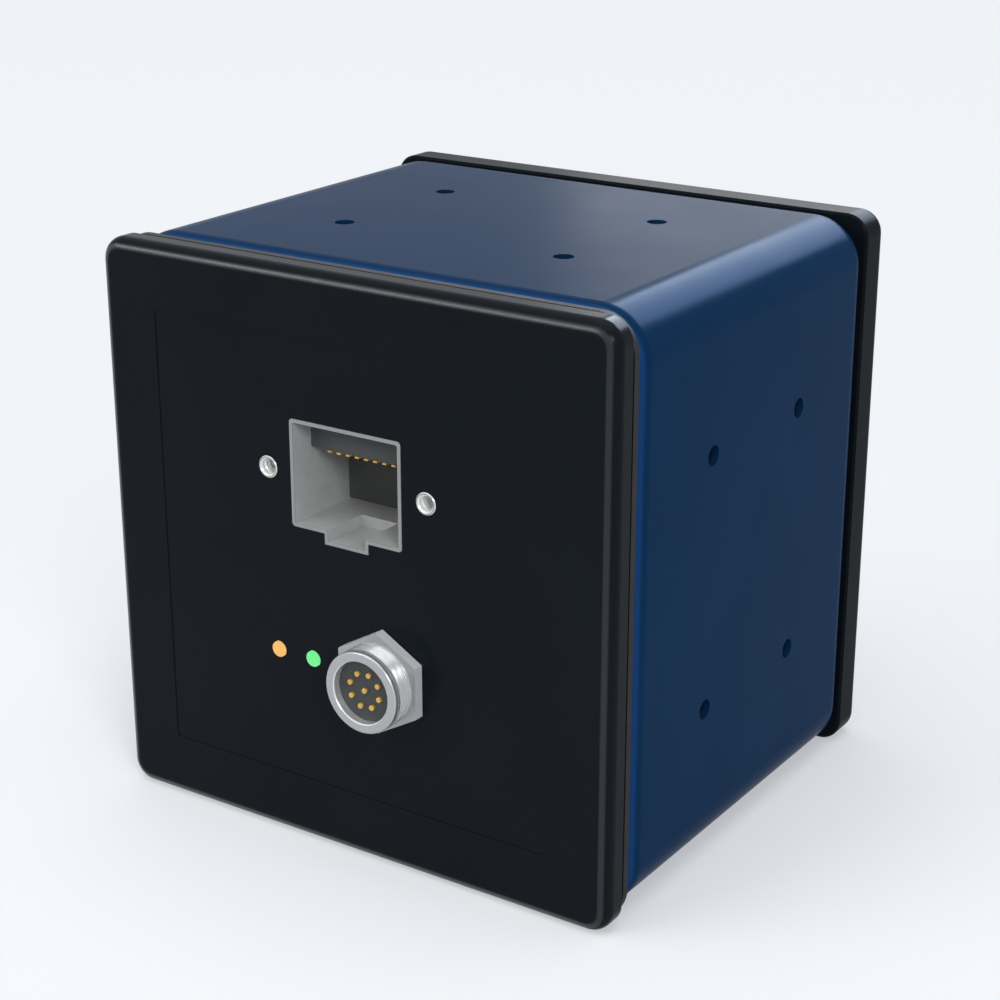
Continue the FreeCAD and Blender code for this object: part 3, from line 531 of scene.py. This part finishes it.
# %% Sensor die
CELL_SCALE, CELL_GAP = 900.0, 0.06
die_silicon, shader = finish_named("die_silicon")
field = bricks(
    die_silicon, shader, CELL_SCALE, CELL_GAP,
    (0.05, 0.065, 0.09), (0.06, 0.08, 0.085), (0.02, 0.025, 0.03),
)
field.offset = 0.0
set_shader(shader, Metallic=0.7, Roughness=0.15)
print("die finish:", die_silicon.name)

# %% [markdown]
# Two panes lie in front of the die. Each is thin and flat, so it bends light very little, and
# its coat against reflections shows as a faint colour, which a thin film gives.

# %% Glass
PANE_PATCH = 0.01
PANE_GLOSS = 0.02


def clear_glass(name, gloss, film):
    """Thin flat glass with an anti-reflection coat of a given thickness in nanometres."""
    material, shader = finish_named(name)
    smeared = vary(material, PANE_PATCH, gloss, gloss + PANE_GLOSS)
    join(material, smeared, shader.inputs["Roughness"])
    set_shader(
        shader, Base_Color=(0.97, 0.985, 0.98, 1), Transmission_Weight=1.0, IOR=1.1,
        Thin_Film_Thickness=film, Thin_Film_IOR=1.38,
    )
    return material


window_glass = clear_glass("window_glass", 0.01, 260.0)
cover_glass = clear_glass("cover_glass", 0.01, 220.0)
print("glass:", window_glass.name, cover_glass.name)

# %% [markdown]
# Each solid now takes its finish. The solids keep their meshes, so only the material in their
# slot changes. A table of node and finish is easier to check than a call for each solid.

# %% Finishes on the solids
FINISHES = {
    "rear_plate": black_skin,
    "front_plate": front_skin,
    "glass_frame": black_skin,
    "sensor_carrier": black_skin,
    "housing": blue_skin,
    "rear_seal": seal_rubber,
    "tie_screws": screw_black,
    "board_screws": standoff_nickel,
    "front_standoffs": standoff_nickel,
    "rear_standoffs": standoff_nickel,
    "protective_glass": window_glass,
    "sensor_cover_glass": cover_glass,
    "sensor_package": package_ceramic,
    "sensor_die": die_silicon,
    "sensor_board": board_mask,
    "processor_board": board_mask,
    "interface_board": board_mask,
    "processor_chip": chip_plastic,
    "memory_chips": chip_plastic,
    "front_board_link": link_plastic,
    "rear_board_link": link_plastic,
    "jack_shield": shield_tin,
    "jack_block": jack_plastic,
    "jack_contacts": contact_gold,
    "locking_bushes": bush_nickel,
    "led_chips": lamp_body,
    "light_pipe_amber": amber_glow,
    "light_pipe_green": green_glow,
    "plug_shell": barrel_nickel,
    "plug_nut": nut_nickel,
    "plug_insert": insert_plastic,
    "plug_contacts": contact_gold,
}
for node, material in FINISHES.items():
    solids[node].data.materials.clear()
    solids[node].data.materials.append(material)
print("solids without a finish:", sorted(set(solids) - set(FINISHES)))

# %% [markdown]
# Threads, pins and bushes are all turned parts, so one helper makes them: it sweeps a profile
# of points (y, radius) round an axis along Y. Where a point lies on a thread, its radius
# follows a helix of small ridges, which a plain revolve, such as Spin gives, can't do. The
# sweep adds to a mesh that it is given, so several turned parts can share one object.

# %% Sweeping a profile round an axis
ON_THREAD = 1e-7


class Thread:
    """A helix of ridges on the points of a profile that lie on one radius."""

    def __init__(self, pitch, height, radius, start, end):
        self.pitch, self.height, self.radius = pitch, height, radius
        self.start, self.end = start, end

    def shift(self, y, radius, angle):
        """Change of radius at a place: a triangle wave that climbs one pitch a turn."""
        if abs(radius - self.radius) > ON_THREAD or not self.start < y < self.end:
            return 0.0
        phase = ((y - self.start) / self.pitch - angle / (2 * math.pi)) % 1.0
        fade = min(1.0, (y - self.start) / self.pitch, (self.end - y) / self.pitch)
        return self.height * fade * (1 - abs(2 * phase - 1))


def sweep(build, centre, profile, steps, thread=None, closed=True):
    """Sweep a profile round an axis along Y; an open profile isn't joined end to start."""
    rings = []
    for step in range(steps):
        angle = 2 * math.pi * step / steps
        ring = []
        for y, radius in profile:
            reach = radius + (thread.shift(y, radius, angle) if thread else 0.0)
            place = (centre[0] + reach * math.cos(angle), y, centre[1] + reach * math.sin(angle))
            ring.append(build.verts.new(place))
        rings.append(ring)
    count = len(profile)
    for step in range(steps):
        this, after = rings[step], rings[(step + 1) % steps]
        for index in range(count if closed else count - 1):
            nxt = (index + 1) % count
            build.faces.new((this[index], after[index], after[nxt], this[nxt]))


print("a ridge is highest half a pitch in:", Thread(1.0, 1.0, 1.0, 0.0, 4.0).shift(1.5, 1.0, 0.0))

# %% [markdown]
# A profile is mostly short lists of points. Two patterns come again and again: a long straight
# run cut into many steps, so that a thread has something to bend, and the rounded corner where
# an end face meets a cylinder.

# %% Runs and rounded corners of a profile
CORNER_STEPS = 5


def along_line(first, last, count):
    """Points from one profile point to another, without the last."""
    points = []
    for step in range(count):
        share = step / count
        points.append(tuple(a + (b - a) * share for a, b in zip(first, last)))
    return points


def rounded_corner(y, radius, rounding):
    """Points of the rounding from an end face at y out to a cylinder of a radius."""
    points = []
    for step in range(CORNER_STEPS + 1):
        turn = math.radians(90 * step / CORNER_STEPS)
        points.append((
            y + rounding * (1 - math.cos(turn)), radius - rounding * (1 - math.sin(turn))
        ))
    return points


print("a rounded corner has", len(rounded_corner(0.0, 0.001, 0.0001)), "points")

# %% [markdown]
# A swept mesh becomes a piece in one step: its doubled points are merged, its faces all look
# outwards, and it shades smooth except at sharp edges. It rides on the body of the camera, and
# takes one of the finishes above.

# %% From a swept mesh to a piece
SAME_POINT = 1e-8
SHARP_EDGE = math.radians(35)


def turned_piece(name, build, material):
    """An object from a swept mesh."""
    bmesh.ops.remove_doubles(build, verts=build.verts, dist=SAME_POINT)
    bmesh.ops.recalc_face_normals(build, faces=build.faces)
    mesh = bpy.data.meshes.new(name)
    build.to_mesh(mesh)
    build.free()
    piece = bpy.data.objects.new(name, mesh)
    bpy.context.scene.collection.objects.link(piece)
    mesh.shade_smooth()
    mesh.set_sharp_from_angle(angle=SHARP_EDGE)
    mesh.materials.append(material)
    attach(piece, "root")
    print(name, "has", len(mesh.polygons), "faces")
    return piece


# %% [markdown]
# The barrel of the round connector carries a fine thread for the cable's coupling, behind a
# plain lip with a rounded edge. A bump in the finish could hint at the thread, but its outline
# would stay smooth. So the shell is turned again here in full and takes the solid's place.

# %% Threaded shell of the round connector
shell_low, shell_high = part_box("plug_shell")
nut_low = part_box("plug_nut")[0]
PLUG_AXIS = (PLUG_CENTRE.x, PLUG_CENTRE.z)
BARREL = 0.00512
BARREL_CORE = 0.00485
BORE = 0.0039
BORE_BREAK = 0.00012
FLANGE = 0.0064
FLANGE_START = REAR_FACE + 0.0037
FLANGE_END = REAR_FACE + 0.0049
TAIL = 0.0047
LIP = shell_low.y
LIP_ROUND = 0.00028
GROOVE = BARREL - 0.0001
THREAD_START = LIP + 0.00075
COUPLING_PITCH, COUPLING_DEEP = 0.0003, 0.0001
profile = [(LIP + BORE_BREAK, BORE), (LIP, BORE + BORE_BREAK)]
profile += rounded_corner(LIP, BARREL, LIP_ROUND)
profile += [(LIP + 0.00056, BARREL), (LIP + 0.00060, GROOVE), (LIP + 0.00073, GROOVE)]
profile += along_line((THREAD_START, BARREL), (nut_low.y, BARREL), 72)
profile += [
    (nut_low.y, BARREL),
    (nut_low.y, BARREL_CORE),
    (FLANGE_START, BARREL_CORE),
    (FLANGE_START, FLANGE),
    (FLANGE_END, FLANGE),
    (FLANGE_END, TAIL),
    (shell_high.y, TAIL),
    (shell_high.y, BORE),
]
build = bmesh.new()
coupling = Thread(COUPLING_PITCH, -COUPLING_DEEP, BARREL, THREAD_START, nut_low.y)
sweep(build, PLUG_AXIS, profile, 180, coupling)
plug_thread = turned_piece("plug_thread", build, barrel_nickel)
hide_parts("plug_shell")

# %% [markdown]
# Nine gold pins stand in the insert, one in the middle and eight round it. Their ends are
# rounded, so each catches a small highlight. A Bevel modifier on the solid would round every
# edge alike. They are turned as one object, because they share one finish and one job.

# %% Pins with rounded ends
pins_low, pins_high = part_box("plug_contacts")
PIN = 0.00034
PIN_ROUND = 0.00009
PIN_TIP = 0.00004
PIN_TIP_SHARE = 0.35
PIN_RING = 0.00217
PIN_TURN = 28.1
PINS_ROUND = 8
pin_places = [PLUG_AXIS]
for number in range(PINS_ROUND):
    angle = math.radians(PIN_TURN + 360 / PINS_ROUND * number)
    pin_places.append((
        PLUG_AXIS[0] + PIN_RING * math.cos(angle), PLUG_AXIS[1] + PIN_RING * math.sin(angle)
    ))
pin_profile = [(pins_low.y + PIN_TIP, 0.0), (pins_low.y, PIN * PIN_TIP_SHARE)]
pin_profile += rounded_corner(pins_low.y, PIN, PIN_ROUND)
pin_profile += [(pins_high.y, PIN), (pins_high.y, 0.0)]
build = bmesh.new()
for place in pin_places:
    sweep(build, place, pin_profile, 32, closed=False)
plug_pins = turned_piece("plug_pins", build, contact_gold)
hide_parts("plug_contacts")

# %% [markdown]
# The bushes beside the jack take the locking screws of the cable's plug. Inside they have a
# coarse thread, and its flanks show as bright streaks, which only real ridges give from every
# side. The thread is cut outwards from the bore of the solid, so a screw still fits.

# %% Threaded locking bushes
bush_low, bush_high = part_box("locking_bushes")
BUSH = 0.00138
BUSH_BORE = 0.00095
BUSH_BREAK = 0.0001
BUSH_PITCH, BUSH_DEEP = 0.000635, 0.00022
bush_mouth = bush_low.y + 2 * BUSH_BREAK
bush_profile = [
    (bush_low.y, BUSH_BORE + 2 * BUSH_BREAK),
    (bush_low.y, BUSH - BUSH_BREAK),
    (bush_low.y + BUSH_BREAK, BUSH),
    (bush_high.y, BUSH),
]
bush_profile += along_line((bush_high.y, BUSH_BORE), (bush_mouth, BUSH_BORE), 80)
bush_profile.append((bush_mouth, BUSH_BORE))
bush_thread = Thread(
    BUSH_PITCH, BUSH_DEEP, BUSH_BORE, bush_low.y + BUSH_BREAK, bush_high.y
)
build = bmesh.new()
for across in (bush_low.x + BUSH, bush_high.x - BUSH):
    sweep(build, (across, centre_of("locking_bushes").z), bush_profile, 48, bush_thread)
bush_sleeves = turned_piece("bush_sleeves", build, bush_nickel)
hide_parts("locking_bushes")

# %% [markdown]
# Inside the front plate the lens screws into a long, fine thread of 0.75 mm pitch. The plate
# itself is right, so it stays. The thread is added as a ring of ridges on the wall of its bore,
# which reach a fifth of a millimetre inwards.

# %% Lens thread
plate_low, plate_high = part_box("front_plate")
LENS_CORE = 0.0286
LENS_PITCH, LENS_DEEP = 0.00075, 0.00018
LENS_SUNK = 0.0002
LENS_FROM_BACK, LENS_FROM_FRONT = 0.0001, 0.0006
lens_start, lens_end = plate_low.y + LENS_FROM_BACK, plate_high.y - LENS_FROM_FRONT
lens_profile = [(lens_start, LENS_CORE + LENS_SUNK)]
lens_profile += along_line((lens_start, LENS_CORE), (lens_end, LENS_CORE), 52)
lens_profile += [(lens_end, LENS_CORE), (lens_end, LENS_CORE + LENS_SUNK)]
build = bmesh.new()
lens_ridges = Thread(LENS_PITCH, -LENS_DEEP, LENS_CORE, lens_start, lens_end)
sweep(build, (0.0, MIDDLE_Z), lens_profile, 256, lens_ridges, closed=False)
turned_piece("lens_thread", build, black_skin)

# %% [markdown]
# Sixteen tapped holes take the screws of a bracket, four in each side of the housing. Below a
# plain mouth each has a thread, painted a darker blue as painted shade, because little light
# reaches it. One thread is swept at the origin, with its mouth towards -Y, as the pattern for
# all sixteen.

# %% One thread of a tapped hole
HOLE_WALL = 0.00125
HOLE_GAP = 0.00001
HOLE = HOLE_WALL - HOLE_GAP
HOLE_COLLAR = HOLE_WALL + 0.00005
HOLE_DEEP = 0.0046
HOLE_FLOOR = HOLE_DEEP - HOLE_GAP
HOLE_MOUTH = 0.0008
HOLE_PITCH, HOLE_RIDGE = 0.0005, 0.00012
hole_profile = [(HOLE_MOUTH, HOLE_COLLAR)]
hole_profile += along_line((HOLE_MOUTH, HOLE), (HOLE_DEEP, HOLE), 60)
hole_profile += [(HOLE_FLOOR, HOLE), (HOLE_FLOOR, 0.0)]
hole_thread = Thread(HOLE_PITCH, -HOLE_RIDGE, HOLE, HOLE_MOUTH, HOLE_DEEP)
one = bmesh.new()
sweep(one, (0.0, 0.0), hole_profile, 28, hole_thread, closed=False)
bmesh.ops.remove_doubles(one, verts=one.verts, dist=SAME_POINT)
single = bpy.data.meshes.new("one_thread")
one.to_mesh(single)
one.free()
print("one thread has", len(single.polygons), "faces")

# %% [markdown]
# Each side of the housing needs the pattern turned to look into that side and moved to four
# places. A matrix does both at once, and all sixteen copies go into one mesh.

# %% Threads in the housing's holes
HOLE_ACROSS = 0.016
HOLE_ALONG = 0.0108
housing_low, housing_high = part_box("housing")
half_wide = (housing_high.x - housing_low.x) / 2
sides = (
    (Matrix.Rotation(math.radians(-90), 4, "X"), Vector((0, 0, housing_high.z)), "X"),
    (Matrix.Rotation(math.radians(90), 4, "X"), Vector((0, 0, housing_low.z)), "X"),
    (Matrix.Rotation(math.radians(90), 4, "Z"), Vector((half_wide, 0, MIDDLE_Z)), "Z"),
    (Matrix.Rotation(math.radians(-90), 4, "Z"), Vector((-half_wide, 0, MIDDLE_Z)), "Z"),
)
build = bmesh.new()
for turn, face, across in sides:
    for row in (-1, 1):
        for step in (-1, 1):
            offset = Vector((0, step * HOLE_ALONG, 0))
            offset["XYZ".index(across)] = row * HOLE_ACROSS
            placed = single.copy()
            placed.transform(Matrix.Translation(face + offset) @ turn)
            build.from_mesh(placed)
            bpy.data.meshes.remove(placed)
hole_threads = turned_piece("hole_threads", build, shaded_thread_skin)
low = [min(vertex.co[axis] for vertex in hole_threads.data.vertices) for axis in range(3)]
high = [max(vertex.co[axis] for vertex in hole_threads.data.vertices) for axis in range(3)]
print("threads reach from", [round(v, 4) for v in low], "to", [round(v, 4) for v in high])

# %% [markdown]
# The studio is a pale floor that runs far past the view, a soft sky and a few large lamps. The
# floor is one square, laid a hair below the object's underside, so that the two never share a
# plane. It fills the view, so no curved backdrop is needed. It isn't part of the object, so it
# isn't attached to the camera's body.

# %% Floor
FLOOR_REACH = 6.0
FLOOR_GAP = 0.00005
floor_mesh = bpy.data.meshes.new("studio_floor")
corners = [(-1, -1), (1, -1), (1, 1), (-1, 1)]
floor_mesh.from_pydata(
    [(FLOOR_REACH * x, FLOOR_REACH * y, 0) for x, y in corners], [], [(0, 1, 2, 3)]
)
floor = bpy.data.objects.new("studio_floor", floor_mesh)
bpy.context.scene.collection.objects.link(floor)
floor.location.z = -FLOOR_GAP
print("floor is", 2 * FLOOR_REACH, "m wide")

# %% [markdown]
# A pale background should come from its own colour, not from more light on the object. Light
# Path tells what kind of ray meets a surface. The camera and the reflections in metal and glass
# should see the pale studio, while light that bounces on should not be made brighter by it.

# %% Rays that see the studio
PALE = (0.88, 0.905, 0.94, 1)


def seen_directly(material):
    """1 for camera, glossy and transmission rays, and 0 for light that bounces on."""
    path = add_node(material, "ShaderNodeLightPath")
    bright = arithmetic(
        material, "MAXIMUM", path.outputs["Is Camera Ray"], path.outputs["Is Glossy Ray"]
    )
    return arithmetic(material, "MAXIMUM", bright, path.outputs["Is Transmission Ray"])


print("pale studio colour:", PALE[:3])

# %% [markdown]
# Paper under the lamps would show the shadow but never an even background. A glowing floor would
# be even but lose the shadow. So the floor blends both: near the object it is mostly paper,
# which keeps the shadow, and farther out it is mostly glow, with a soft change between. For
# light that bounces on, the paper is a step darker, so it doesn't lift the dark faces.

# %% Floor finish
NEAR_GLOW, FAR_GLOW = 0.35, 0.95
GLOW_STARTS, GLOW_FULL = 0.05, 0.15
PAPER_UNSEEN, PAPER_SEEN = (0.6, 0.63, 0.66), (0.91, 0.925, 0.945)
floor_paint = bpy.data.materials.new("floor_paint")
floor_paint.use_nodes = True
floor_paint.node_tree.nodes.clear()
seen = seen_directly(floor_paint)
diffuse = add_node(floor_paint, "ShaderNodeBsdfDiffuse")
join(floor_paint, mixed(floor_paint, seen, PAPER_UNSEEN, PAPER_SEEN), diffuse.inputs["Color"])
glow = add_node(floor_paint, "ShaderNodeEmission", Color=PALE, Strength=1.0)
distance = add_node(floor_paint, "ShaderNodeVectorMath")
distance.operation = "LENGTH"
join(floor_paint, position(floor_paint), distance.inputs[0])
outwards = ramp(
    floor_paint, distance.outputs["Value"], GLOW_STARTS, GLOW_FULL, NEAR_GLOW, FAR_GLOW
)
blend = add_node(floor_paint, "ShaderNodeMixShader")
ending = add_node(floor_paint, "ShaderNodeOutputMaterial")
join(floor_paint, arithmetic(floor_paint, "MULTIPLY", seen, outwards), blend.inputs[0])
join(floor_paint, diffuse.outputs[0], blend.inputs[1])
join(floor_paint, glow.outputs[0], blend.inputs[2])
join(floor_paint, blend.outputs[0], ending.inputs["Surface"])
floor.data.materials.append(floor_paint)
print("floor glows from", NEAR_GLOW, "near the object to", FAR_GLOW)

# %% [markdown]
# Large area lamps give shadows without a hard edge and broad highlights on metal. Two stand
# behind, and their reflection shows the top and the rounded edges. They light no dull surface,
# or the object would throw a long shadow forwards. One lies above and lights the floor, and
# two in front give the rear panel and the connector their shape. A lamp's power grows with its
# area, so the helper takes its radiance instead, which stays the same when its size changes.

# %% Lamps
MIDDLE = Vector((0, 0, MIDDLE_Z))
WHITE = (1.0, 1.0, 1.0)
COOL = (0.72, 0.84, 1.0)


def lamp(name, direction, distance, wide, tall, radiance, colour=WHITE):
    """A lamp that shines on the object from a direction; a radiance of 1 looks white."""
    light = bpy.data.lights.new(name, "AREA")
    light.shape = "RECTANGLE"
    light.size = wide
    light.size_y = tall
    light.energy = radiance * wide * tall * math.pi
    light.color = colour
    holder = bpy.data.objects.new(name, light)
    place = MIDDLE + Vector(direction).normalized() * distance
    holder.location = place
    holder.rotation_euler = (MIDDLE - place).to_track_quat("-Z", "Y").to_euler()
    bpy.context.scene.collection.objects.link(holder)
    return holder


behind = lamp("lamp_behind", (-0.01, 0.79, 0.47), 2.0, 1.45, 0.62, 18.0, COOL)
behind_low = lamp("lamp_behind_low", (-0.32, 0.88, 0.2), 2.0, 0.8, 0.4, 2.2)
for panel in (behind, behind_low):
    panel.visible_diffuse = False
lamp("lamp_above", (0.0, -0.05, 1.0), 0.9, 0.9, 0.9, 1.45)
lamp("lamp_front_left", (-0.52, -0.72, 0.46), 1.1, 0.8, 0.12, 12.0)
lamp("lamp_front_right", (0.75, -0.6, 0.5), 1.3, 0.35, 0.35, 18.0)
print("lamps:", len(bpy.data.lights))

# %% [markdown]
# The sky fills the shadows with even light. A sky texture would colour them, so it is one pale
# tone. It is half as strong for light that bounces as for rays that see it, so reflections show
# a pale studio and the dark faces stay dark.

# %% Sky
SKY_LIGHT = 0.5
world = bpy.data.worlds.new("studio_sky")
bpy.context.scene.world = world
world.use_nodes = True
sky = world.node_tree.nodes["Background"]
sky.inputs["Color"].default_value = PALE
strength = arithmetic(world, "MULTIPLY_ADD", seen_directly(world), 1 - SKY_LIGHT, SKY_LIGHT)
join(world, strength, sky.inputs["Strength"])
print("sky lights the object at", SKY_LIGHT)

# %% [markdown]
# The scene's camera looks down on the rear panel from the right. A short lens close by would
# make the edges of the box run together steeply. Its lens is long, about 78 mm on a full-frame
# sensor, so they converge only a little.

# %% Camera
LENS_LENGTH, SENSOR_WIDTH = 78.14, 36.0
EYE = (0.146785, -0.219169, 0.132999)
AZIMUTH, ELEVATION = math.radians(33.833), math.radians(20.112)
eye = bpy.data.cameras.new("studio_camera")
eye.sensor_width = SENSOR_WIDTH
eye.lens = LENS_LENGTH
eye_holder = bpy.data.objects.new("studio_camera", eye)
eye_holder.location = EYE
back = Vector((
    math.sin(AZIMUTH) * math.cos(ELEVATION),
    -math.cos(AZIMUTH) * math.cos(ELEVATION),
    math.sin(ELEVATION),
))
eye_holder.rotation_euler = (-back).to_track_quat("-Z", "Y").to_euler()
bpy.context.scene.collection.objects.link(eye_holder)
bpy.context.scene.camera = eye_holder
bpy.context.scene.view_settings.view_transform = "Standard"
print("camera at", tuple(round(value, 4) for value in eye_holder.location))
